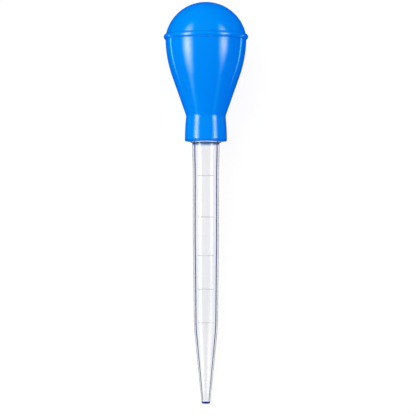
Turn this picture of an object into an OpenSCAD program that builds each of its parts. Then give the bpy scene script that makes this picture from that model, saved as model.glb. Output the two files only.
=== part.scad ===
// Plastic dropper pipette: a soft hollow bulb pushed over a clear moulded tube.
// It lies as it comes to rest, on the bulb's bead and the rim of its tip, with the
// tip towards -Y, the bulb towards +Y and the level marks facing up.
// Both pieces are turned about one axis. Their profiles are drawn as [radius, height],
// the tube's from its tip and the bulb's from its mouth, and then laid down.

/* [Bulb] */
// Length of the bulb from its mouth to the top of the dome
bulb_len = 97.3; // [90:0.1:110]
// Largest outside diameter of the body, where the dome springs from it
body_d = 56.5; // [48:0.1:60]
// Radius of the long curve that the body follows under the bead
flank_r = 83; // [65:1:110]
// Height above the mouth at which body and dome meet, the middle of the bead
bead_up = 73; // [66:0.1:78]
// Diameter over the bead, the widest place
bead_d = 59; // [57:0.1:60]
// Diameter of the bead's round section
bead_w = 4.4; // [3.4:0.1:5.4]
// Outside diameter at the neck, where body and collar meet
neck_d = 27.5; // [26:0.1:30]
// Height of the neck above the mouth
neck_up = 17.8; // [15:0.1:21]
// Outside diameter of the collar at the mouth
mouth_d = 29.4; // [27:0.1:32]
// How far the rounding of the mouth's outer edge reaches
mouth_round = 1.2; // [0.8:0.1:2.4]
// How far the crease at the neck is rounded
neck_round = 1; // [0.4:0.1:1.5]
// Wall thickness of the hollow body and dome
bulb_wall = 2; // [1.4:0.1:3]

/* [Tube] */
// Length of the tube that shows, from its tip to the face that the bulb seats on
tube_out = 182.8; // [170:0.1:200]
// Outside diameter of the parallel upper barrel
barrel_d = 18.1; // [17:0.1:18.6]
// Height above the tip at which the tapered barrel becomes parallel
parallel_from = 118; // [100:1:125]
// Outside diameter of the barrel at the nozzle's shoulder
shoulder_d = 16.6; // [15.6:0.1:17]
// Height of the shoulder, where the nozzle's cone begins
nozzle_len = 53; // [46:0.5:54]
// How far the bend at the shoulder is rounded
shoulder_round = 5; // [1:0.5:8]
// Wall thickness of the tube
tube_wall = 2.05; // [1.3:0.05:2.2]

/* [Tip] */
// Outside diameter of the tip
tip_d = 6; // [5.6:0.1:7]
// Radius that rounds the tip's outer rim
rim_r = 0.8; // [0.4:0.05:0.9]
// Diameter of the outlet
outlet_d = 3.8; // [2.4:0.1:4]
// Length of the parallel outlet, above which the bore widens
outlet_len = 4; // [3:0.5:8]

/* [Seat] */
// Diameter of the thicker land under the stop flange
land_d = 19; // [18.8:0.1:20]
// Length of the land
land_len = 7; // [4:0.5:10]
// Length over which the land fades into the barrel
land_fade = 12; // [8:0.5:16]
// Diameter of the stop flange that the bulb's mouth seats on
flange_d = 21.4; // [20.8:0.1:24]
// Thickness of the stop flange
flange_t = 0.9; // [0.6:0.1:1.5]
// Diameter of the plug that the bulb is pushed over
plug_d = 18.6; // [17.8:0.1:18.8]
// Length of the plug above the stop flange
plug_len = 14; // [11:0.5:18]
// Height of the plug's retaining ring above the stop flange
ring_up = 6; // [4:0.5:8]
// How far the retaining ring stands out of the plug
ring_rise = 0.6; // [0.3:0.05:0.9]
// Diameter of the retaining ring's round section
ring_w = 2.4; // [2:0.1:3]
// Gap all round between the plug and the neck that is pushed over it
fit_gap = 0.05; // [0.02:0.01:0.1]

/* [Level marks] */
// Heights of the moulded level marks above the tip
mark_heights = [56.8, 80, 103.4, 130.2, 159]; // each from nozzle_len to the start of the fade
// Part of the circle that a mark covers, in degrees
mark_arc = 76; // [40:1:120]
// Diameter of a mark's round section
mark_w = 0.8; // [0.5:0.05:1.2]
// How far a mark stands out of the barrel
mark_rise = 0.22; // [0.1:0.01:0.4]

/* [Hidden] */
$fn = 120;
arc_steps = 24;
flare_steps = 8;
lead_in = 0.4;
flange_round = 0.25;
plug_round = 0.8;

// Radii, and places along the axis above the tip
body_r = body_d / 2;
neck_r = neck_d / 2;
mouth_r = mouth_d / 2;
barrel_r = barrel_d / 2;
shoulder_r = shoulder_d / 2;
land_r = land_d / 2;
flange_r = flange_d / 2;
plug_r = plug_d / 2;
plug_bore_r = plug_r - tube_wall;
outlet_r = outlet_d / 2;
rim_mid = tip_d / 2 - rim_r;
land_low = tube_out - flange_t - land_len;
fade_low = land_low - land_fade;

// Middles of the bead's and the retaining ring's round sections. The ring's is given
// above the mouth, as the groove in the bulb and the ring on the plug share it.
bead_mid = [(bead_d - bead_w) / 2, bead_up];
ring_mid = [plug_r + ring_rise - ring_w / 2, ring_up];

// The dome is a cap that springs from the body at the bead and ends at the top
function cap_r(base, rise) = (base * base + rise * rise) / (2 * rise);
dome_rise = bulb_len - bead_up;
dome_r = cap_r(body_r, dome_rise);
dome_mid = [0, bulb_len - dome_r];

// The flank is an arc that is upright at the bead and runs straight to the neck as a
// tangent. flank_turn is the angle through which it turns before it becomes straight.
flank_mid = [body_r - flank_r, bead_up];
to_neck = [neck_r, neck_up] - flank_mid;
flank_turn = atan(-to_neck[1] / to_neck[0]) - acos(flank_r / norm(to_neck));

// Inside the bulb the same tangent, one wall further in, runs down to the socket, which
// always reaches past the groove for the plug's retaining ring
socket_r = plug_r + fit_gap;
tangent_up = neck_up - (neck_r - bulb_wall / cos(flank_turn) - socket_r) / tan(flank_turn);
socket_up = max(tangent_up, ring_up + ring_w / 2 + fit_gap);

// Slope of the nozzle, from its rim to its shoulder
nozzle_a = atan((shoulder_r - tip_d / 2) / (nozzle_len - rim_r));

// At rest the part touches the floor with the bead and with the tip's rim, or with the
// nozzle's shoulder if that reaches lower. lie is the angle of its axis to the floor.
bead_z = tube_out + bead_up;
function lie_on(mid, r) =
    let (way = [bead_mid[0], bead_z] - mid)
    atan(way[0] / way[1]) + asin((bead_w / 2 - r) / norm(way));
lie = min(lie_on([rim_mid, rim_r], rim_r), lie_on([shoulder_r, nozzle_len], 0));
lift = bead_mid[0] * cos(lie) - bead_z * sin(lie) + bead_w / 2;
far_y = (tube_out + dome_mid[1]) * cos(lie) + dome_r;
near_y = rim_r * cos(lie) - rim_mid * sin(lie) - rim_r;

// Points of an arc: centre, radius, first and last angle. The third number is the
// rounding of that corner, see rounded().
function arc(mid, r, from, to) =
    [for (i = [0:arc_steps]) let (a = from + (to - from) * i / arc_steps)
        [mid[0] + r * cos(a), mid[1] + r * sin(a), 0]];

// Half the angle of a round section that stands out of an upright wall at this radius
function stands_out(mid, r, wall) = acos((wall - mid[0]) / r);

// The point that lies d from a towards b
function toward(a, b, d) = a + (b - a) * d / norm(b - a);

// A parabola that rounds corner b, starting and ending d away from it
function bend(a, b, c, d) =
    let (p = toward(b, a, d), q = toward(b, c, d))
    [for (t = [0:0.2:1]) (1 - t) * (1 - t) * p + 2 * t * (1 - t) * b + t * t * q];

function flat(c) = [c[0], c[1]];

// Outline through corners [radius, height, rounding]. Where two arcs join, the point
// that they share is taken once.
function rounded(c) =
    [for (i = [0:len(c) - 1])
        each c[i][2] > 0
            ? bend(flat(c[i - 1]), flat(c[i]), flat(c[i + 1]), c[i][2])
            : i > 0 && norm(c[i] - c[i - 1]) < 0.001 ? [] : [flat(c[i])]];

// Radius of the tube's outside at a height above the tip, up to the stop flange
function outside_at(z) =
    lookup(z, [
        [rim_r, tip_d / 2],
        [nozzle_len, shoulder_r],
        [parallel_from, barrel_r],
        [fade_low, barrel_r],
        [land_low, land_r]
    ]);

// The collar swells towards the mouth, fast at the neck and then less and less
function collar_at(t) = [mouth_r + (neck_r - mouth_r) * t * t, neck_up * t, 0];

function bulb_outside() =
    concat(
        arc(dome_mid, dome_r, 90, asin((bead_up - dome_mid[1]) / dome_r)),
        arc(flank_mid, flank_r, 0, -flank_turn),
        [[neck_r, neck_up, neck_round]],
        [for (i = [flare_steps - 1:-1:1]) collar_at(i / flare_steps)],
        [[mouth_r, 0, mouth_round]]
    );

// The bead's ring is rooted in the wall, however far its crest stands out of the body
function bead_ring() =
    let (root = min(body_r - bulb_wall / 2, bead_mid[0]))
    concat(
        [[root, bead_up - bead_w / 2, 0]],
        arc(bead_mid, bead_w / 2, -90, 90),
        [[root, bead_up + bead_w / 2, 0]]
    );

function bulb_inside() =
    let (
        rise = dome_rise - bulb_wall,
        r = cap_r(body_r - bulb_wall, rise),
        groove_r = ring_w / 2 + fit_gap,
        groove_a = stands_out(ring_mid, groove_r, socket_r)
    )
    concat(
        [[socket_r + lead_in, 0, 0], [socket_r, lead_in, 0]],
        arc(ring_mid, groove_r, -groove_a, groove_a),
        [[socket_r, socket_up, 0]],
        arc(flank_mid, flank_r - bulb_wall, -flank_turn, 0),
        arc([0, bead_up + rise - r], r, asin((r - rise) / r), 90)
    );

function tube_outside() =
    let (ring_a = stands_out(ring_mid, ring_w / 2, plug_r))
    concat(
        arc([rim_mid, rim_r], rim_r, -90, -nozzle_a),
        [
            [shoulder_r, nozzle_len, shoulder_round],
            [barrel_r, parallel_from, shoulder_round],
            [barrel_r, fade_low, land_fade / 3],
            [land_r, land_low, land_fade / 4],
            [land_r, tube_out - flange_t, 0],
            [flange_r, tube_out - flange_t, flange_round],
            [flange_r, tube_out, flange_round],
            [plug_r, tube_out, 0]
        ],
        arc(ring_mid + [0, tube_out], ring_w / 2, -ring_a, ring_a),
        [[plug_r, tube_out + plug_len, plug_round]]
    );

function tube_inside() = [
    [plug_bore_r, tube_out + plug_len, 0],
    [plug_bore_r, land_low, land_fade / 4],
    [barrel_r - tube_wall, fade_low, land_fade / 3],
    [barrel_r - tube_wall, parallel_from, shoulder_round],
    [shoulder_r - tube_wall, nozzle_len, shoulder_round],
    [outlet_r, outlet_len, 0],
    [outlet_r, 0, 0]
];

module lay() {
    translate([0, -(near_y + far_y) / 2, lift])
        rotate([lie - 90, 0, 0])
            children();
}

module level_mark(z) {
    mid = outside_at(z) + mark_rise - mark_w / 2;
    rotate([0, 0, -90 - mark_arc / 2])
        translate([0, 0, z])
            rotate_extrude(angle = mark_arc)
                translate([mid, 0])
                    circle(d = mark_w);
    for (side = [-1, 1])
        rotate([0, 0, -90 + side * mark_arc / 2])
            translate([mid, 0, z])
                sphere(d = mark_w);
}

module bulb() {
    color([0.0, 0.5, 0.97])
        lay()
            translate([0, 0, tube_out])
                union() {
                    rotate_extrude()
                        polygon(rounded(concat(bulb_outside(), bulb_inside())));
                    rotate_extrude()
                        polygon(rounded(bead_ring()));
                }
}

module tube() {
    color([0.86, 0.92, 0.97, 0.45])
        lay()
            union() {
                rotate_extrude()
                    polygon(rounded(concat(tube_outside(), tube_inside())));
                for (z = mark_heights)
                    level_mark(z);
            }
}

bulb();
tube();
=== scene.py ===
import math

import bpy
import numpy as np
from bpy.props import FloatProperty, FloatVectorProperty, IntProperty, PointerProperty
from mathutils import Matrix, Vector


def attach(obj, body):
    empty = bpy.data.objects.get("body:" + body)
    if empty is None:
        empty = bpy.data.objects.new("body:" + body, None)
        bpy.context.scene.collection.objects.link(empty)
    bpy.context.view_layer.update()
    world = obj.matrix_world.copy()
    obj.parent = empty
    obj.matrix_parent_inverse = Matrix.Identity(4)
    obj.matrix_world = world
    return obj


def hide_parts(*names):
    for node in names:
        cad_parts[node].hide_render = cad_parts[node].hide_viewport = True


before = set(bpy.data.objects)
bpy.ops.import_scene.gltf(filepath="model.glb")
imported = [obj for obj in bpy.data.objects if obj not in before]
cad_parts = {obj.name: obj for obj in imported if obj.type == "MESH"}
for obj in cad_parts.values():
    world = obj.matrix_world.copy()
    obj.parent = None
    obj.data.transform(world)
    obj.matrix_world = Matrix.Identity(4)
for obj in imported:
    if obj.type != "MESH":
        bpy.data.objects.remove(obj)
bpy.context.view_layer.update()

bl_info = {
    "name": "Dropper Pipette",
    "version": (1, 0, 0),
    "blender": (4, 5, 0),
    "location": "3D View > Sidebar > Pipette",
    "description": "A soft squeeze bulb on a clear moulded tube, with its studio",
    "category": "Object",
}

MM = 0.001

# Sizes that have no setting. A rounding is how far it reaches along both its sides, a
# length lies along the axis, and angles are in degrees.
# The bulb's outside
MOUTH_ROUND = 1.2 * MM
NECK_ROUND = 0.9 * MM
CREASE_ROUND = 0.22 * MM  # beside the bead
# The seat in the bulb's collar
SOCKET = 9.35 * MM  # radius round the plug
LEAD_IN = 0.4 * MM  # chamfer at the mouth
FACE_GAP = 0.03 * MM  # keeps the mouth's face off the flange's
GROOVE = (8.7 * MM, 6 * MM)  # middle of its section: radius, height above the mouth
GROOVE_RADIUS = 1.25 * MM
GROOVE_ANGLE = 58.67  # half of its arc
# The tube's outside
RIM = 0.8 * MM  # radius of the tip's rim
RIM_STEPS = 14  # points of the rim's arc
NOZZLE = 53 * MM  # height of the shoulder, where the nozzle's cone begins
PARALLEL = 118 * MM  # height from which the barrel is parallel
BARREL_ROUND = 5 * MM  # at both of those heights
FLANGE = 0.9 * MM  # thickness
FLANGE_ROUND = 0.25 * MM
FILLET = 0.5 * MM  # in the corner under the flange
LAND = 7 * MM  # length under the flange
LAND_ROUND = 3 * MM  # where the fade meets the land
FADE = 12 * MM  # length over which the land fades into the barrel
FADE_ROUND = 4 * MM  # where the barrel meets the fade
PLUG = 14 * MM  # length above the flange
PLUG_ROUND = 0.8 * MM
PLUG_FOOT = 0.1 * MM  # rounding where the plug leaves the flange
RING_UP = 6 * MM  # middle of the retaining ring above the flange
RING_IN = 0.6 * MM  # and how deep it lies in the plug
RING_RADIUS = 1.2 * MM
RING_ANGLE = 60  # half of its arc
# The tube's bore
OUTLET = 4 * MM  # length of the parallel outlet
OUTLET_BEND = 0.6 * MM  # rounding where the bore widens above it
OUTLET_ROUND = 0.15 * MM
BORE_ROUND = 0.2 * MM  # at the plug's end
# The level marks: heights above the tip, part of the circle, and width
MARKS = np.array([56.8, 80, 103.4, 130.2, 159]) * MM
MARK_ARC = math.radians(76)
MARK_WIDTH = 0.8 * MM
# The rim's painted blue light is full up to the first height and gone at the second
PAINTED_BLUE_FULL, PAINTED_BLUE_END = 1.2 * MM, 1.6 * MM
# Height above the tip of the bulb's middle, which the lights face, in metres
BULB_MIDDLE = 0.24


class Lie:
    """How the part rests: on the bead of its bulb and on the rim of its tip. Both are
    round, so the axis is turned until a line touches both circles from below. tip is
    the point of the axis at the tip, along the axis, facing up from it."""

    def __init__(self, scene):
        bulb, tube = scene.pipette_bulb, scene.pipette_tube
        bead = np.array([(bulb.bead - bulb.bead_width) / 2, tube.reach + bulb.bead_up])
        rim = np.array([tube.tip / 2 - RIM, RIM])
        way = bead - rim
        lean = math.atan(way[0] / way[1])
        lean += math.asin((bulb.bead_width / 2 - RIM) / np.hypot(*way))
        lift = bead[0] * math.cos(lean) - bead[1] * math.sin(lean) + bulb.bead_width / 2
        rise = bulb.height - bulb.bead_up
        dome = ((bulb.body / 2) ** 2 + rise**2) / (2 * rise)
        far = (tube.reach + bulb.height - dome) * math.cos(lean) + dome
        near = RIM * math.cos(lean) - rim[0] * math.sin(lean) - RIM
        self.lean = lean
        self.tip = np.array([0.0, -(near + far) / 2, lift])
        self.along = np.array([0.0, math.cos(lean), math.sin(lean)])
        self.facing = np.array([0.0, -math.sin(lean), math.cos(lean)])

    def place(self, radius, height, turn):
        """Points about the axis: radius out from it at an angle, height along it from
        the tip. At a quarter turn they are on the side that faces up."""
        out = np.cos(turn)[..., None] * np.array([1.0, 0, 0])
        out = out + np.sin(turn)[..., None] * self.facing
        return self.tip + height[..., None] * self.along + radius[..., None] * out


def length(name, description, default, low, high):
    """A size in millimetres, kept in metres as Blender does."""
    return FloatProperty(
        name=name,
        description=description,
        default=default * MM,
        min=low * MM,
        max=high * MM,
        precision=5,
        unit="LENGTH",
    )


def linear(hexa):
    """An sRGB hex colour as linear RGB: each channel through the sRGB curve."""
    srgb = np.array([int(hexa[i : i + 2], 16) for i in (1, 3, 5)]) / 255
    low = srgb / 12.92
    high = ((srgb + 0.055) / 1.055) ** 2.4
    return tuple(float(c) for c in np.where(srgb <= 0.04045, low, high))


def colour(name, description, hexa):
    """A colour that a user may change, given as an sRGB hex value."""
    return FloatVectorProperty(
        name=name,
        description=description,
        default=linear(hexa),
        min=0,
        max=1,
        size=3,
        subtype="COLOR",
    )


class BulbSettings(bpy.types.PropertyGroup):
    body: length("Body diameter", "Widest part of the body under the bead", 56.5, 48, 60)
    height: length("Height", "From the mouth to the top of the dome", 97.3, 90, 110)
    bead_up: length("Bead height", "Middle of the bead above the mouth", 73, 66, 78)
    bead: length("Bead diameter", "Over the bead, the widest place", 59, 57, 60)
    bead_width: length("Bead width", "Diameter of the bead's round section", 4.4, 3.4, 5.4)
    flank: length("Flank radius", "Long curve of the body under the bead", 83, 65, 110)
    neck: length("Neck diameter", "Where body and collar meet", 27.5, 26, 30)
    neck_up: length("Neck height", "The neck above the mouth", 17.8, 15, 21)
    mouth: length("Mouth diameter", "Outside of the collar at the mouth", 29.4, 27, 32)
    wall: length("Wall", "Thickness of the hollow body", 2, 1.4, 3)
    tint: colour("Colour", "Colour of the soft plastic", "#008AF8")
    steps: IntProperty(
        name="Steps", description="Faces round the bulb", default=256, min=24, max=512
    )
    gloss: FloatProperty(
        name="Roughness",
        description="How much the moulded skin blurs a reflection",
        default=0.055,
        min=0,
        max=1,
        subtype="FACTOR",
    )


class TubeSettings(bpy.types.PropertyGroup):
    reach: length("Length", "From the tip to the face the bulb seats on", 182.8, 170, 200)
    barrel: length("Barrel diameter", "Outside of the parallel barrel", 18.1, 17, 18.6)
    shoulder: length("Shoulder diameter", "Outside at the nozzle's shoulder", 16.6, 15.6, 17)
    wall: length("Wall", "Thickness of the tube", 2.05, 1.3, 2.2)
    tip: length("Tip diameter", "Outside of the tip", 6, 5.6, 7)
    outlet: length("Outlet diameter", "The hole in the tip", 3.8, 2.4, 4)
    land: length("Land diameter", "Thicker part under the stop flange", 19, 18.8, 20)
    flange: length("Flange diameter", "Stop flange that the bulb seats on", 21.4, 20.8, 24)
    plug: length("Plug diameter", "The part inside the bulb's neck", 18.6, 17.8, 18.8)
    steps: IntProperty(
        name="Steps", description="Faces round the tube", default=256, min=24, max=512
    )
    mark_rise: length("Mark height", "How far a level mark stands out", 0.22, 0.1, 0.4)
    # The rim colour is painted blue light: it stands for the bulb's blue that the wall leads
    # to its rim and reflects under its flange
    painted_rim_blue: colour("Rim colour", "Blue that the wall leads to its rim and flange", "#2C68B4")
    tint: colour("Colour", "Tint of the clear plastic's faces", "#FFFFFF")
    # The mark colour is a painted grey-blue shade, in place of the shade that the clear ridges
    # refract
    painted_mark_shade: colour("Mark colour", "Tint of the matt level marks", "#C3C9D4")
    ior: FloatProperty(
        name="IOR",
        description="Refractive index of the clear plastic",
        default=1.5,
        min=1.3,
        max=1.7,
    )


class StudioSettings(bpy.types.PropertyGroup):
    lens: FloatProperty(
        name="Lens",
        description="Focal length of the camera",
        default=0.173,
        min=0.05,
        max=0.4,
        unit="CAMERA",
    )
    distance: length("Distance", "From the camera to the tube's axis", 1395, 500, 4000)
    aim: length("Aim", "Height above the tip that the camera looks at", 136.4, 0, 280)


# ---------------------------------------------------------------- surfaces


def make_mesh(name, points, faces, node):
    """A smooth closed mesh in its place, riding on the part and standing for a node."""
    mesh = bpy.data.meshes.new(name)
    mesh.from_pydata(points.tolist(), [], faces)
    mesh.validate()
    mesh.polygons.foreach_set("use_smooth", np.ones(len(mesh.polygons), bool))
    mesh.update()
    piece = bpy.data.objects.new(name, mesh)
    bpy.context.scene.collection.objects.link(piece)
    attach(piece, "root")
    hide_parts(node)
    return piece


def ring_faces(rows, around, first):
    """Quads between neighbouring rings of points, closed round the axis."""
    row, step = np.meshgrid(np.arange(rows - 1), np.arange(around), indexing="ij")
    a = first + row * around + step
    b = first + row * around + (step + 1) % around
    return np.stack([a, b, b + around, a + around], -1).reshape(-1, 4)


def sheet_faces(rows, steps):
    """Quads between neighbouring rows of points, open along every edge."""
    row, step = np.meshgrid(np.arange(rows - 1), np.arange(steps - 1), indexing="ij")
    first = (row * steps + step).ravel()
    return np.stack([first, first + 1, first + steps + 1, first + steps], 1)


def bell(value, middle, width):
    """A bell curve that is 1 at its middle: e to the minus half of the square of how
    many widths the value is away."""
    return np.exp(-(((value - middle) / width) ** 2) / 2)


def arc(middle, radius, start, end, steps):
    """Points of an arc of a circle from one angle to another, in degrees."""
    turn = np.radians(np.linspace(start, end, steps))
    return np.stack([middle[0] + radius * np.cos(turn), middle[1] + radius * np.sin(turn)], 1)


def bend(before, corner, after, reach, steps=9):
    """A parabola that rounds a corner and touches both its sides at the same reach."""
    before, corner, after = (np.asarray(p, float) for p in (before, corner, after))
    p = corner + (before - corner) * reach / np.linalg.norm(before - corner)
    q = corner + (after - corner) * reach / np.linalg.norm(after - corner)
    t = np.linspace(0, 1, steps)[:, None]
    return (1 - t) ** 2 * p + 2 * t * (1 - t) * corner + t**2 * q


def crossing(a, ra, b, rb):
    """Where two circles cross, on the left of the line between their middles."""
    a, b = np.asarray(a, float), np.asarray(b, float)
    d = np.linalg.norm(b - a)
    way = (b - a) / d
    along = (d * d + ra * ra - rb * rb) / (2 * d)
    return a + along * way + math.sqrt(ra * ra - along * along) * np.array([-way[1], way[0]])


def angle(middle, point):
    """The angle in degrees at which a point is seen from the middle of its circle."""
    return math.degrees(math.atan2(point[1] - middle[1], point[0] - middle[0]))


def dense(line, step):
    """The same outline with no stretch longer than a step: points are added in
    proportion to the length along it."""
    away = np.linalg.norm(np.diff(line, axis=0), axis=1)
    counts = np.maximum(1, np.ceil(away / step).astype(int))
    start = np.repeat(line[:-1], counts, axis=0)
    reach = np.repeat(np.diff(line, axis=0) / counts[:, None], counts, axis=0)
    index = np.arange(counts.sum()) - np.repeat(np.cumsum(counts) - counts, counts)
    return np.vstack([start + reach * index[:, None], line[-1:]])


def clean(line):
    """The outline without points that repeat the one before."""
    away = np.linalg.norm(np.diff(line, axis=0), axis=1)
    return line[np.concatenate([[True], away > 1e-7])]


def bulb_outline(s):
    """[radius, height above the mouth] from the top of the dome down the outside, over
    the mouth and up the inside to the top again. The dome is a cap of a ball, the bead
    a circle, the body an arc that is upright at the bead and runs straight to the neck
    as a tangent, and the collar's radius grows with the square of the way from the mouth
    to the neck. Inside, the same arc and tangent lie one wall further in."""
    body, bead_r = s.body / 2, s.bead_width / 2
    rise = s.height - s.bead_up
    dome_r = (body**2 + rise**2) / (2 * rise)
    dome = np.array([0, s.height - dome_r])
    bead = np.array([s.bead / 2 - bead_r, s.bead_up])
    flank = np.array([body - s.flank, s.bead_up])
    neck = np.array([s.neck / 2, s.neck_up])
    mouth = s.mouth / 2
    away = neck - flank
    turn = math.degrees(math.atan(-away[1] / away[0]) - math.acos(s.flank / np.hypot(*away)))

    top = crossing(dome, dome_r, bead, bead_r)
    low = crossing(bead, bead_r, flank, s.flank)
    t = np.linspace(1, 0, 19)[1:-1]
    collar = np.stack([mouth + (neck[0] - mouth) * t**2, s.neck_up * t], 1)
    upper = arc(dome, dome_r, 90, angle(dome, top), 72)
    band = arc(bead, bead_r, angle(bead, top), angle(bead, low), 26)
    side = arc(flank, s.flank, angle(flank, low), -turn, 40)
    outside = np.vstack(
        [
            upper[:-1],
            bend(upper[-2], top, band[1], CREASE_ROUND, 4),
            band[1:-1],
            bend(band[-2], low, side[1], CREASE_ROUND, 4),
            side[1:],
            bend(side[-1], neck, collar[0], NECK_ROUND, 7),
            collar,
            bend(collar[-1], (mouth, FACE_GAP), (0, FACE_GAP), MOUTH_ROUND, 9),
        ]
    )

    inner = body - s.wall
    r = (inner**2 + (rise - s.wall) ** 2) / (2 * (rise - s.wall))
    top_up = s.bead_up + rise - s.wall - r
    lean = math.radians(turn)
    seat = s.neck_up - (neck[0] - s.wall / math.cos(lean) - SOCKET) / math.tan(lean)
    inside = np.vstack(
        [
            [[SOCKET + LEAD_IN, FACE_GAP], [SOCKET, FACE_GAP + LEAD_IN]],
            arc(GROOVE, GROOVE_RADIUS, -GROOVE_ANGLE, GROOVE_ANGLE, 9),
            [[SOCKET, seat]],
            arc(flank, s.flank - s.wall, -turn, 0, 16),
            arc((0, top_up), r, angle((0, top_up), (inner, s.bead_up)), 90, 20),
        ]
    )
    return clean(dense(outside, 1.6 * MM)), clean(inside)


def bulb_surface(s, lie, reach, around):
    """The closed skin of the bulb: its outline turned about the axis, with one point at
    the top of the dome outside and one inside."""
    outside, inside = bulb_outline(s)
    line = np.vstack([outside, inside])
    height = line[:, 1] + reach
    turn = np.linspace(0, 2 * np.pi, around, endpoint=False)
    rings = lie.place(
        np.repeat(line[1:-1, :1], around, 1),
        np.repeat(height[1:-1, None], around, 1),
        np.tile(turn, (len(line) - 2, 1)),
    ).reshape(-1, 3)
    poles = lie.place(np.zeros(2), height[[0, -1]], np.zeros(2))
    quads = ring_faces(len(line) - 2, around, 0)
    step = np.arange(around)
    after = (step + 1) % around
    last = (len(line) - 3) * around
    count = len(rings)
    cap = np.stack([np.full(around, count), after, step], 1)
    inner_cap = np.stack([np.full(around, count + 1), last + step, last + after], 1)
    return np.vstack([rings, poles]), quads.tolist() + cap.tolist() + inner_cap.tolist()


def tube_outline(s):
    """[radius, height above the tip] of the tube: up the outside from the tip's rim and
    down the bore to the outlet. Between its bends it runs straight from corner to corner,
    and the bore follows the outside one wall further in."""
    rim_mid = s.tip / 2 - RIM
    shoulder = (s.shoulder / 2, NOZZLE)
    slope = math.degrees(math.atan((s.shoulder - s.tip) / 2 / (NOZZLE - RIM)))
    under = s.reach - FLANGE
    land_low = under - LAND
    fade_low = land_low - FADE
    end = s.reach + PLUG
    barrel, land, flange, plug = s.barrel / 2, s.land / 2, s.flange / 2, s.plug / 2
    bore, plug_bore, outlet = barrel - s.wall, plug - s.wall, s.outlet / 2
    rim_line = arc((rim_mid, RIM), RIM, -90, -slope, RIM_STEPS)
    outside = np.vstack(
        [
            rim_line,
            bend(rim_line[-1], shoulder, (barrel, PARALLEL), BARREL_ROUND),
            bend(shoulder, (barrel, PARALLEL), (barrel, fade_low), BARREL_ROUND),
            bend((barrel, PARALLEL), (barrel, fade_low), (land, land_low), FADE_ROUND),
            bend((barrel, fade_low), (land, land_low), (land, under), LAND_ROUND),
            bend((land, land_low), (land, under), (flange, under), FILLET, 9),
            bend((land, under), (flange, under), (flange, s.reach), FLANGE_ROUND, 5),
            bend((flange, under), (flange, s.reach), (plug, s.reach), FLANGE_ROUND, 5),
            bend((flange, s.reach), (plug, s.reach), (plug, end), PLUG_FOOT, 3),
            arc((plug - RING_IN, s.reach + RING_UP), RING_RADIUS, -RING_ANGLE, RING_ANGLE, 13),
            bend((plug, s.reach), (plug, end), (bore, end), PLUG_ROUND, 6),
        ]
    )
    throat = (s.shoulder / 2 - s.wall, NOZZLE)
    inside = np.vstack(
        [
            bend((plug, end), (plug_bore, end), (plug_bore, land_low), BORE_ROUND, 4),
            bend((plug_bore, end), (plug_bore, land_low), (bore, fade_low), LAND_ROUND),
            bend((plug_bore, land_low), (bore, fade_low), (bore, PARALLEL), FADE_ROUND),
            bend((bore, fade_low), (bore, PARALLEL), throat, BARREL_ROUND),
            bend((bore, PARALLEL), throat, (outlet, OUTLET), BARREL_ROUND),
            bend(throat, (outlet, OUTLET), (outlet, 0), OUTLET_BEND, 4),
            # Bore points where the rim's painted blue light ends and where it is full
            [[outlet, PAINTED_BLUE_END], [outlet, PAINTED_BLUE_FULL]],
            bend((outlet, OUTLET), (outlet, 0), (rim_mid, 0), OUTLET_ROUND, 4),
        ]
    )
    return clean(outside), clean(inside)


def ridge(s, radius, height, turn):
    """How far the level marks stand out: a round bar of the mark's width lies sunk in
    the barrel, with a ball at each end, so the height above the barrel is the circle's
    height less the part of it that is sunk."""
    round_r = MARK_WIDTH / 2
    aside = np.abs(turn - np.pi / 2)
    past = np.maximum(0, aside - MARK_ARC / 2) * radius
    total = np.zeros_like(height)
    for mark in MARKS:
        left = round_r**2 - (height - mark) ** 2 - past**2
        bar = np.sqrt(np.maximum(left, 0)) + s.mark_rise - round_r
        total = np.maximum(total, bar)
    return total


def tube_surface(s, lie, around):
    """The closed skin of the tube: the outline turned about the axis, with the level
    marks added to the radius on the side that faces up. Also says which points lie on a
    mark, and how much painted blue light each has, which stands for the bulb's blue that
    the wall leads."""
    outside, inside = tube_outline(s)
    # Rings that lie close together across each mark, and where the rim's painted blue ends
    near = np.concatenate([m + np.linspace(-0.42, 0.42, 15) * MM for m in MARKS])
    near = np.append(near, [PAINTED_BLUE_FULL, PAINTED_BLUE_END])
    # They join the rings from the rim up to 9 mm below the bulb, just short of the land
    first = int(np.argmax(outside[:, 1] >= s.reach - 9 * MM))
    barrel = dense(outside[:first], 6 * MM)
    heights = np.unique(np.concatenate([barrel[RIM_STEPS:, 1], near]))
    radii = np.interp(heights, barrel[:, 1], barrel[:, 0])
    barrel = clean(np.vstack([barrel[:RIM_STEPS], np.stack([radii, heights], 1)]))
    line = np.vstack([barrel, dense(outside[first:], 3 * MM), dense(inside, 8 * MM)])
    turn = np.linspace(0, 2 * np.pi, around, endpoint=False)
    turn = np.tile(turn, (len(line), 1))
    radius = np.repeat(line[:, :1], around, 1)
    height = np.repeat(line[:, 1:], around, 1)
    rise = ridge(s, radius, height, turn)
    rise[len(barrel) :] = 0
    radius += rise
    points = lie.place(radius, height, turn).reshape(-1, 3)
    faces = ring_faces(len(line), around, 0)
    step = np.arange(around)
    after = (step + 1) % around
    last = (len(line) - 1) * around
    close = np.stack([last + step, last + after, after, step], 1)
    # How much painted blue light each point has: full at the rim and gone just above it
    blue = np.clip((PAINTED_BLUE_END - height) / (PAINTED_BLUE_END - PAINTED_BLUE_FULL), 0, 1)
    # The flange's underside and its fillet, up to the rounding of its edge, also get the
    # painted blue, which stands for the bulb's blue reflected there
    under = np.abs(height - (s.reach - FLANGE)) < 0.6 * MM
    blue += under & (radius < s.flange / 2 - 0.3 * MM)
    faces = np.vstack([faces, close])[:, ::-1].tolist()
    return points, faces, (rise > 0).ravel(), blue.ravel()


# ---------------------------------------------------------------- materials


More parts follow.
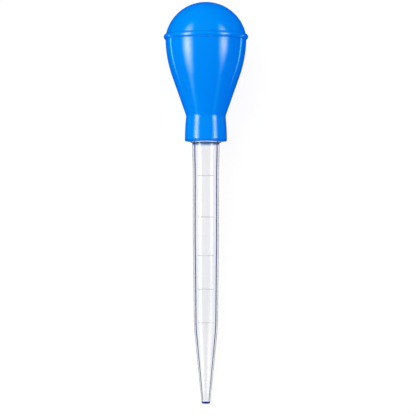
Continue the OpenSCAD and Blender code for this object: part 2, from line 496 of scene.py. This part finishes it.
def node(tree, kind, inputs=None, **settings):
    """Adds a shader node, with its settings and with its inputs set or linked."""
    made = tree.nodes.new(kind)
    for key, value in settings.items():
        setattr(made, key, value)
    for key, value in (inputs or {}).items():
        if isinstance(value, bpy.types.NodeSocket):
            tree.links.new(value, made.inputs[key])
        else:
            made.inputs[key].default_value = value
    return made


def new_material(name):
    """An empty material and its node tree."""
    material = bpy.data.materials.new(name)
    material.use_nodes = True
    material.node_tree.nodes.clear()
    return material, material.node_tree


def soft_pvc(s):
    """Soft PVC, injection-moulded: a strong clean blue with a smooth skin, which
    reflects soft lamps as bands with blurred edges."""
    material, tree = new_material("soft_pvc_moulded_blue")
    place = node(tree, "ShaderNodeTexCoord").outputs["Object"]
    # Melt flow leaves clouds of a slightly other depth of colour, some 20 mm across
    cloud = node(
        tree, "ShaderNodeTexNoise", {"Vector": place, "Scale": 50.0, "Detail": 2.0}
    ).outputs["Fac"]
    deep = tuple(c * 0.93 for c in s.tint)
    tone = node(
        tree,
        "ShaderNodeMix",
        {"Factor": cloud, 6: (*deep, 1), 7: (*s.tint, 1)},
        data_type="RGBA",
    ).outputs[2]
    # The polished mould leaves a skin with slightly matter patches, some 8 mm across
    patch = node(
        tree, "ShaderNodeTexNoise", {"Vector": place, "Scale": 120.0, "Detail": 3.0}
    ).outputs["Fac"]
    rough = node(
        tree,
        "ShaderNodeMapRange",
        {"Value": patch, "To Min": s.gloss - 0.015, "To Max": s.gloss + 0.015},
    ).outputs["Result"]
    # Fine orange peel of the skin, 1.5 mm from crest to crest and some microns deep
    peel = node(
        tree, "ShaderNodeTexNoise", {"Vector": place, "Scale": 650.0, "Detail": 1.0}
    ).outputs["Fac"]
    bump = node(
        tree, "ShaderNodeBump", {"Height": peel, "Strength": 0.05, "Distance": 0.0001}
    ).outputs["Normal"]
    shader = node(
        tree,
        "ShaderNodeBsdfPrincipled",
        {
            "Base Color": tone,
            "Roughness": rough,
            "IOR": 1.5,
            "Normal": bump,
            # Light that skims the soft skin comes back a deeper blue
            "Sheen Weight": 0.4,
            "Sheen Roughness": 0.5,
            "Sheen Tint": (*linear("#003FFF"), 1),
        },
    )
    node(tree, "ShaderNodeOutputMaterial", {"Surface": shader.outputs[0]})
    return material


def clear_plastic(s):
    """Clear polystyrene, injection-moulded: water-clear through the wall and a cold grey
    along it, with smooth faces that bend light like glass and slight waves along the
    flow. The level marks come from an eroded part of the mould and are a little matt,
    with a painted grey-blue shade. The flange's underside and the tip's rim carry
    painted blue light of the bulb."""
    material, tree = new_material("polystyrene_moulded_clear")
    place = node(tree, "ShaderNodeTexCoord").outputs["Object"]
    # Slow waves of the polish along the flow, some 11 mm across
    wave = node(
        tree, "ShaderNodeTexNoise", {"Vector": place, "Scale": 90.0, "Detail": 1.0}
    ).outputs["Fac"]
    rough = node(
        tree, "ShaderNodeMapRange", {"Value": wave, "To Min": 0.0, "To Max": 0.03}
    ).outputs["Result"]
    # The level marks are matt, and their tint is a painted grey-blue shade in place of the
    # shade that their ridges refract
    mark = node(tree, "ShaderNodeAttribute", attribute_name="mark").outputs["Fac"]
    rough = node(
        tree, "ShaderNodeMix", {"Factor": mark, 2: rough, 3: 0.3}, data_type="FLOAT"
    ).outputs[0]
    tone = node(
        tree,
        "ShaderNodeMix",
        {"Factor": mark, 6: (*s.tint, 1), 7: (*s.painted_mark_shade, 1)},
        data_type="RGBA",
    ).outputs[2]
    # Painted light: the rim tint puts the blue of the bulb on the flange's underside and on
    # the tip's rim, where the wall would lead it as a light guide does
    rim = node(tree, "ShaderNodeAttribute", attribute_name="rim").outputs["Fac"]
    tone = node(
        tree,
        "ShaderNodeMix",
        {"Factor": rim, 6: tone, 7: (*s.painted_rim_blue, 1)},
        data_type="RGBA",
    ).outputs[2]
    shader = node(
        tree,
        "ShaderNodeBsdfPrincipled",
        {"Base Color": tone, "Roughness": rough, "IOR": s.ior, "Transmission Weight": 1.0},
    )
    # Both walls, 4 mm straight through, take a tenth of white, and a little less of blue
    depth = node(
        tree,
        "ShaderNodeVolumeAbsorption",
        {"Color": (*linear("#E7E7ED"), 1), "Density": 124.0},
    )
    node(
        tree,
        "ShaderNodeOutputMaterial",
        {"Surface": shader.outputs[0], "Volume": depth.outputs[0]},
    )
    return material


def paper_sweep():
    """Matt white paper sweep: plain white wherever it is seen, straight on, mirrored or
    through the tube, and with a share of plain paper that keeps the shadow."""
    material, tree = new_material("paper_sweep_matt_white")
    path = node(tree, "ShaderNodeLightPath").outputs
    seen = node(
        tree,
        "ShaderNodeMath",
        {0: path["Is Camera Ray"], 1: path["Is Glossy Ray"]},
        operation="MAXIMUM",
    ).outputs[0]
    seen = node(
        tree, "ShaderNodeMath", {0: seen, 1: path["Is Transmission Ray"]}, operation="MAXIMUM"
    ).outputs[0]
    white = node(tree, "ShaderNodeEmission", {"Strength": 0.9}).outputs[0]
    share = node(tree, "ShaderNodeBsdfDiffuse", {"Color": (0.12, 0.12, 0.12, 1)}).outputs[0]
    bright = node(tree, "ShaderNodeAddShader", {0: white, 1: share}).outputs[0]
    # Other rays meet paper that sends back four fifths of the light
    paper = node(tree, "ShaderNodeBsdfDiffuse", {"Color": (0.8, 0.8, 0.8, 1)}).outputs[0]
    mixed = node(tree, "ShaderNodeMixShader", {0: seen, 1: paper, 2: bright}).outputs[0]
    node(tree, "ShaderNodeOutputMaterial", {"Surface": mixed})
    return material


def card(name, shade):
    """A matt card that lights nothing: it shows one plain shade."""
    material, tree = new_material(name)
    plain = node(tree, "ShaderNodeEmission", {"Color": (*shade, 1)}).outputs[0]
    node(tree, "ShaderNodeOutputMaterial", {"Surface": plain})
    return material


def edge_card(name, shade):
    """A card that is seen only through the thickness of a clear wall, where light goes
    in and out once, so that it has crossed no more than two faces. Light that crosses
    the bore passes the card."""
    material, tree = new_material(name)
    through = node(tree, "ShaderNodeLightPath").outputs["Transmission Depth"]
    wall = node(tree, "ShaderNodeMath", {0: through, 1: 2.5}, operation="LESS_THAN").outputs[0]
    plain = node(tree, "ShaderNodeEmission", {"Color": (*shade, 1)}).outputs[0]
    clear = node(tree, "ShaderNodeBsdfTransparent").outputs[0]
    mixed = node(tree, "ShaderNodeMixShader", {0: wall, 1: clear, 2: plain}).outputs[0]
    node(tree, "ShaderNodeOutputMaterial", {"Surface": mixed})
    return material


def glow(name):
    """A lit cloth, with the light of each place in its glow attribute. What is behind it
    shows through, so that one doesn't hide another."""
    material, tree = new_material(name)
    light = node(tree, "ShaderNodeAttribute", attribute_name="glow").outputs["Color"]
    lit = node(tree, "ShaderNodeEmission", {"Color": light, "Strength": 1.0}).outputs[0]
    clear = node(tree, "ShaderNodeBsdfTransparent").outputs[0]
    both = node(tree, "ShaderNodeAddShader", {0: lit, 1: clear}).outputs[0]
    node(tree, "ShaderNodeOutputMaterial", {"Surface": both})
    return material


# ---------------------------------------------------------------- operators


class PIPETTE_OT_bulb(bpy.types.Operator):
    """Make the soft squeeze bulb"""

    bl_idname = "pipette.bulb"
    bl_label = "Squeeze Bulb"

    def execute(self, context):
        scene = context.scene
        s = scene.pipette_bulb
        points, faces = bulb_surface(s, Lie(scene), scene.pipette_tube.reach, s.steps)
        piece = make_mesh("bulb_skin", points, faces, "bulb")
        piece.data.materials.append(soft_pvc(s))
        return {"FINISHED"}


class PIPETTE_OT_tube(bpy.types.Operator):
    """Make the clear tube with its level marks, stop flange and plug"""

    bl_idname = "pipette.tube"
    bl_label = "Clear Tube"

    def execute(self, context):
        s = context.scene.pipette_tube
        points, faces, marked, low = tube_surface(s, Lie(context.scene), s.steps)
        piece = make_mesh("tube_wall", points, faces, "tube")
        mark = piece.data.attributes.new("mark", "FLOAT", "POINT")
        mark.data.foreach_set("value", marked.astype(float))
        # The rim attribute holds how much painted blue light, standing for the bulb's blue,
        # each point has
        rim = piece.data.attributes.new("rim", "FLOAT", "POINT")
        rim.data.foreach_set("value", low)
        piece.data.materials.append(clear_plastic(s))
        return {"FINISHED"}


def lamp(name, lie, tilt, lean, radiance):
    """A large soft lamp in front of the bulb that gives light to colours only. It is
    tilted from the camera's direction to one side and leans towards the dome's end.
    Its watts are its radiance times its area times pi."""
    wide, high, away = 0.9, 1.2, 1.2
    data = bpy.data.lights.new(name, "AREA")
    data.shape = "RECTANGLE"
    data.size, data.size_y = wide, high
    data.energy = max(radiance) * wide * high * math.pi
    data.color = [c / max(radiance) for c in radiance]
    piece = bpy.data.objects.new(name, data)
    side, up = math.radians(tilt), math.radians(lean)
    out = Vector(lie.facing) * math.cos(side) + Vector((1, 0, 0)) * math.sin(side)
    out = out * math.cos(up) + Vector(lie.along) * math.sin(up)
    across = Vector(lie.along).cross(out).normalized()
    at = Vector(lie.tip + BULB_MIDDLE * lie.along) + out * away
    turn = Matrix((across, out.cross(across), out)).transposed().to_4x4()
    piece.matrix_world = Matrix.Translation(at) @ turn
    piece.visible_camera = False
    piece.visible_glossy = False
    piece.visible_transmission = False
    bpy.context.scene.collection.objects.link(piece)


class PIPETTE_OT_studio(bpy.types.Operator):
    """Make the studio: paper sweep, soft lamps, dark cards and the camera"""

    bl_idname = "pipette.studio"
    bl_label = "Studio"

    def execute(self, context):
        scene = context.scene
        s = scene.pipette_studio
        lie = Lie(scene)
        scene.view_settings.view_transform = "Standard"

        world = bpy.data.worlds.new("studio")
        scene.world = world
        world.use_nodes = True
        tree = world.node_tree
        tree.nodes.clear()
        path = node(tree, "ShaderNodeLightPath").outputs
        seen = node(
            tree,
            "ShaderNodeMath",
            {0: path["Is Camera Ray"], 1: path["Is Transmission Ray"]},
            operation="MAXIMUM",
        ).outputs[0]
        # White where it is seen, nothing in the gloss, and cool air for the colours
        air = node(
            tree,
            "ShaderNodeMix",
            {"Factor": path["Is Diffuse Ray"], 6: (0, 0, 0, 1), 7: (*linear("#E1D2F6"), 1)},
            data_type="RGBA",
        ).outputs[2]
        level = node(
            tree, "ShaderNodeMix", {"Factor": seen, 6: air, 7: (1, 1, 1, 1)}, data_type="RGBA"
        ).outputs[2]
        sky = node(tree, "ShaderNodeBackground", {"Color": level})
        node(tree, "ShaderNodeOutputWorld", {"Surface": sky.outputs[0]})

        # The paper: a flat round sheet, in rings so that its shade stays even
        reach, around = np.array([0.05, 0.4, 1.5, 6.0]), 96
        turn = np.linspace(0, 2 * np.pi, around, endpoint=False)
        grid = reach[:, None, None] * np.stack([np.cos(turn), np.sin(turn), 0 * turn], -1)
        faces = ring_faces(len(reach), around, 0)[:, ::-1].tolist() + [list(range(around))]
        mesh = bpy.data.meshes.new("paper")
        mesh.from_pydata(grid.reshape(-1, 3).tolist(), [], faces)
        sweep = bpy.data.objects.new("paper", mesh)
        scene.collection.objects.link(sweep)
        sweep.data.materials.append(paper_sweep())

        # Cards beside the tube, which only its wall shows: they give clear plastic its
        # dark edges. Their outline is given at four heights above the tip, and lies
        # where rays that leave the edge of the bore at two angles meet the paper, and
        # a little further out at the tip
        slate = edge_card("card_slate", linear("#4A6592"))
        up = np.array([0 * MM, NOZZLE, PARALLEL, 186 * MM])
        bore = np.array([1.4, 6.25, 7.0, 7.0]) * MM
        high = lie.tip[2] + up * lie.along[2]
        y = lie.tip[1] + up * lie.along[1]
        near = high * math.tan(math.radians(38)) + bore
        far = high * math.tan(math.radians(60)) + bore * 1.1
        far[0] += 3 * MM
        # Flags keep the gloss from mirroring the paper: near black beside the tube, and
        # blue beside the bulb, whose edges glow with their own colour. They meet just
        # short of the collar and reach past the paper
        dark = card("card_dark", linear("#192745"))
        blue = card("card_blue", linear("#0045A0"))
        meet, reach = 38 * MM, 6.5
        for side, name, rim in ((-1, "left", 4.6), (1, "right", 4.2)):
            strip = np.stack([side * np.append(near, far[::-1]), np.append(y, y[::-1])], 1)
            self.card(context, "edge_card_" + name, strip, 0.3 * MM, slate, ("transmission",))
            for part, shade, start, end in (
                ("tube", dark, -reach, meet),
                ("bulb", blue, meet, reach),
            ):
                wide = side * reach
                flag = np.array([[0, start], [wide, start], [wide, end], [0, end]])
                title = "flag_%s_%s" % (part, name)
                self.card(context, title, flag, 0.5 * MM, shade, ("glossy",))
            self.rim_card(context, name, side, rim)

        # Two long softboxes, which the gloss shows as the bright bands on each side, and
        # two small ones beside the nozzle, whose taper turns its gloss away from the others
        for name, tilt, wide, lean, down, up, strength, dim in (
            ("softbox_left", -53.6, 8.6, 6.0, 18.0, 20.0, 15.2, 0.39),
            ("softbox_right", 51.6, 7.8, 7.5, 13.0, 17.5, 15.0, 0.51),
        ):
            lit = self.sheet(tilt, wide, lean, down, up, strength, dim)
            self.softbox(context, lie, name, BULB_MIDDLE, 0.8, *lit, cool=0.8)
        for name, tilt in (("strip_left", -44.5), ("strip_right", 34.5)):
            lit = self.sheet(tilt, 13.0, -5.0, 35.0, 35.0, 4.5, 0)
            self.softbox(context, lie, name, 0.022, 0.05, *lit, cool=0)

        # Soft light on the colours: a warm key from the left and a warm light from the
        # dome's end, which with the cool air add up to white on what faces the camera
        lamp("key", lie, -40, 20, (1.5, 2.0, 1.0))
        lamp("top", lie, 0, 30, (0.8, 1.2, 0.2))

        data = bpy.data.cameras.new("camera")
        data.lens_unit = "MILLIMETERS"
        data.sensor_width = 36
        data.lens = s.lens * 1000
        data.clip_start = 0.01
        data.clip_end = 50
        camera = bpy.data.objects.new("camera", data)
        at = Vector(lie.tip + s.aim * lie.along + s.distance * lie.facing)
        at.x += 1.46 * MM  # the pipette stands that much left of the middle
        turn = Matrix(((1, 0, 0), tuple(lie.along), tuple(lie.facing))).transposed().to_4x4()
        camera.matrix_world = Matrix.Translation(at) @ turn
        scene.collection.objects.link(camera)
        scene.camera = camera
        return {"FINISHED"}

    def card(self, context, name, outline, up, material, seen_by):
        """A flat card just over the paper, with its outline given as x and y."""
        mesh = bpy.data.meshes.new(name)
        corners = np.column_stack([outline, np.full(len(outline), up)])
        mesh.from_pydata(corners.tolist(), [], [list(range(len(corners)))])
        self.hang(context, name, mesh, material, seen_by)

    def rim_card(self, context, name, side, strength):
        """A narrow pale card over the paper, which gives the bulb the thin line along its
        rim. It lies from y = 50 to 125 mm and widens from 14 to 24 mm, and its brightness
        rises in proportion to the way from the tube's end and then stays."""
        steps = 16
        share = np.linspace(0, 1, steps)
        y = 50 + 75 * share
        near = np.stack([side * (84 + 2 * share), y, np.full(steps, 0.7)], 1)
        far = np.stack([side * (98 + 12 * share), y, np.full(steps, 0.7)], 1)
        light = strength * np.tile(np.clip(share * 1.6, 0, 1), 2)
        light = np.stack([0.24 * light, light, 0.5 * light], 1)
        faces = sheet_faces(2, steps)
        self.cloth(context, "rim_card_" + name, np.vstack([near, far]) * MM, faces, light)

    def sheet(self, tilt, wide, lean, down, up, strength, dim):
        """The light of a softbox on a grid of angles across and along it, in degrees. It
        is bright as a bell curve across, and as one along that has its own width down
        towards the tip and up towards the dome. Between 30 and 33 degrees down it falls
        to a faint tail, which goes on to the end and is missing only on the dome's side.
        It is dimmer about 5 degrees up, which the collar mirrors."""
        steps = 121
        across = tilt + np.linspace(-3, 3, steps) * wide
        a, b = np.meshgrid(across, np.linspace(-75, 80, steps), indexing="ij")
        share = bell(b, lean, np.where(b > lean, up, down)) * np.clip((b + 33) / 3, 0, 1)
        share = 0.94 * share + 0.06 * np.clip((30 - b) / 15, 0, 1)
        share *= 1 - dim * bell(b, 5, 5)
        return a, b, strength * share * bell(a, tilt, wide)

    def softbox(self, context, lie, name, aim, away, a, b, light, cool):
        """A softbox that faces the point of the axis at a height, from a distance: a sheet
        whose two parameters are the angles across and along as that point sees them. Its
        red is less than the rest by the same everywhere, so that it is cool where weak."""
        rows, steps = a.shape
        a, b = np.radians(a), np.radians(b)
        way = (
            (np.cos(b) * np.sin(a))[..., None] * np.array([1.0, 0, 0])
            + (np.cos(b) * np.cos(a))[..., None] * lie.facing
            + np.sin(b)[..., None] * lie.along
        )
        points = (lie.tip + aim * lie.along + away * way).reshape(-1, 3)
        light = light.ravel()
        red = 1.12 * np.maximum(light - cool, 0)
        colours = np.stack([red, light, light], 1)
        self.cloth(context, name, points, sheet_faces(rows, steps), colours)

    def cloth(self, context, name, points, faces, light):
        """A sheet that glows with the light given for each of its points."""
        mesh = bpy.data.meshes.new(name)
        mesh.from_pydata(points.tolist(), [], faces.tolist())
        glows = mesh.attributes.new("glow", "FLOAT_COLOR", "POINT")
        glows.data.foreach_set("color", np.column_stack([light, np.ones(len(light))]).ravel())
        self.hang(context, name, mesh, glow(name + "_cloth"), ("glossy",))

    def hang(self, context, name, mesh, material, seen_by):
        """Puts a mesh of the studio in the scene, seen only by the given kinds of ray."""
        piece = bpy.data.objects.new(name, mesh)
        piece.data.materials.append(material)
        context.scene.collection.objects.link(piece)
        piece.visible_camera = False
        piece.visible_diffuse = False
        piece.visible_shadow = False
        piece.visible_glossy = "glossy" in seen_by
        piece.visible_transmission = "transmission" in seen_by


class PIPETTE_PT_panel(bpy.types.Panel):
    """The pieces and their settings, in the sidebar"""

    bl_label = "Dropper Pipette"
    bl_idname = "PIPETTE_PT_panel"
    bl_space_type = "VIEW_3D"
    bl_region_type = "UI"
    bl_category = "Pipette"

    def draw(self, context):
        scene = context.scene
        for operator, group in (
            (PIPETTE_OT_bulb, scene.pipette_bulb),
            (PIPETTE_OT_tube, scene.pipette_tube),
            (PIPETTE_OT_studio, scene.pipette_studio),
        ):
            box = self.layout.box()
            box.operator(operator.bl_idname)
            for name in group.__annotations__:
                box.prop(group, name)


CLASSES = (
    BulbSettings,
    TubeSettings,
    StudioSettings,
    PIPETTE_OT_bulb,
    PIPETTE_OT_tube,
    PIPETTE_OT_studio,
    PIPETTE_PT_panel,
)


def register():
    for cls in CLASSES:
        bpy.utils.register_class(cls)
    bpy.types.Scene.pipette_bulb = PointerProperty(type=BulbSettings)
    bpy.types.Scene.pipette_tube = PointerProperty(type=TubeSettings)
    bpy.types.Scene.pipette_studio = PointerProperty(type=StudioSettings)


def unregister():
    del bpy.types.Scene.pipette_studio
    del bpy.types.Scene.pipette_tube
    del bpy.types.Scene.pipette_bulb
    for cls in reversed(CLASSES):
        bpy.utils.unregister_class(cls)


def main():
    register()
    bpy.ops.pipette.bulb()
    bpy.ops.pipette.tube()
    bpy.ops.pipette.studio()


if __name__ == "__main__":
    main()
